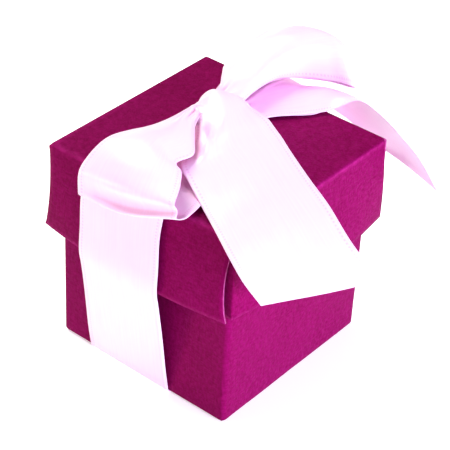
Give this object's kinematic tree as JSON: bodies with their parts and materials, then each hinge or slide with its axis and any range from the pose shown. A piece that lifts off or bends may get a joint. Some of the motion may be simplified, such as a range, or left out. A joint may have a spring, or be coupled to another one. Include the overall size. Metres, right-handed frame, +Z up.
{
  "type": "gift box",
  "caption": "Small cube gift box of folded card with a lift-off lid, wrapped lengthways in a wide satin ribbon tied on top in a bow with long tails.",
  "frame": {"origin": "middle of the underside, on the surface the box stands on", "axes": "+Z up; the ribbon goes round the box in the YZ plane, and -Y is the side it is seen from"},
  "size_m": [0.0775, 0.0792, 0.0627],
  "materials": {
    "base_card": "matt magenta card with a fine linen grain",
    "lid_card": "matt magenta card with a fine linen grain",
    "ribbon": "pale pink satin with woven selvedges"
  },
  "bodies": {
    "base": {"base_front_wall": "base_card", "base_back_wall": "base_card", "base_left_wall": "base_card", "base_right_wall": "base_card", "base_bottom_panel": "base_card", "base_tuck_flap": "base_card", "base_left_dust_flap": "base_card", "base_right_dust_flap": "base_card", "base_glue_flap": "base_card", "ribbon_bottom_strip": "ribbon", "ribbon_front_lower": "ribbon", "ribbon_back_lower": "ribbon"},
    "lid": {"lid_top_panel": "lid_card", "lid_front_panel": "lid_card", "lid_back_panel": "lid_card", "lid_left_panel": "lid_card", "lid_right_panel": "lid_card", "lid_tab_front_left": "lid_card", "lid_tab_front_right": "lid_card", "lid_tab_back_left": "lid_card", "lid_tab_back_right": "lid_card", "ribbon_front_upper": "ribbon", "ribbon_back_upper": "ribbon", "ribbon_top_strip": "ribbon", "ribbon_knot": "ribbon", "ribbon_loop_front": "ribbon", "ribbon_loop_back": "ribbon", "ribbon_tail_front": "ribbon", "ribbon_tail_back": "ribbon"}
  },
  "joints": [
    {"name": "lid_lift", "type": "slide", "parent": "base", "child": "lid", "axis": [0, 0, 1], "range_m": [0, 0.03], "deforming": ["ribbon_front_lower", "ribbon_back_lower"]}
  ]
}
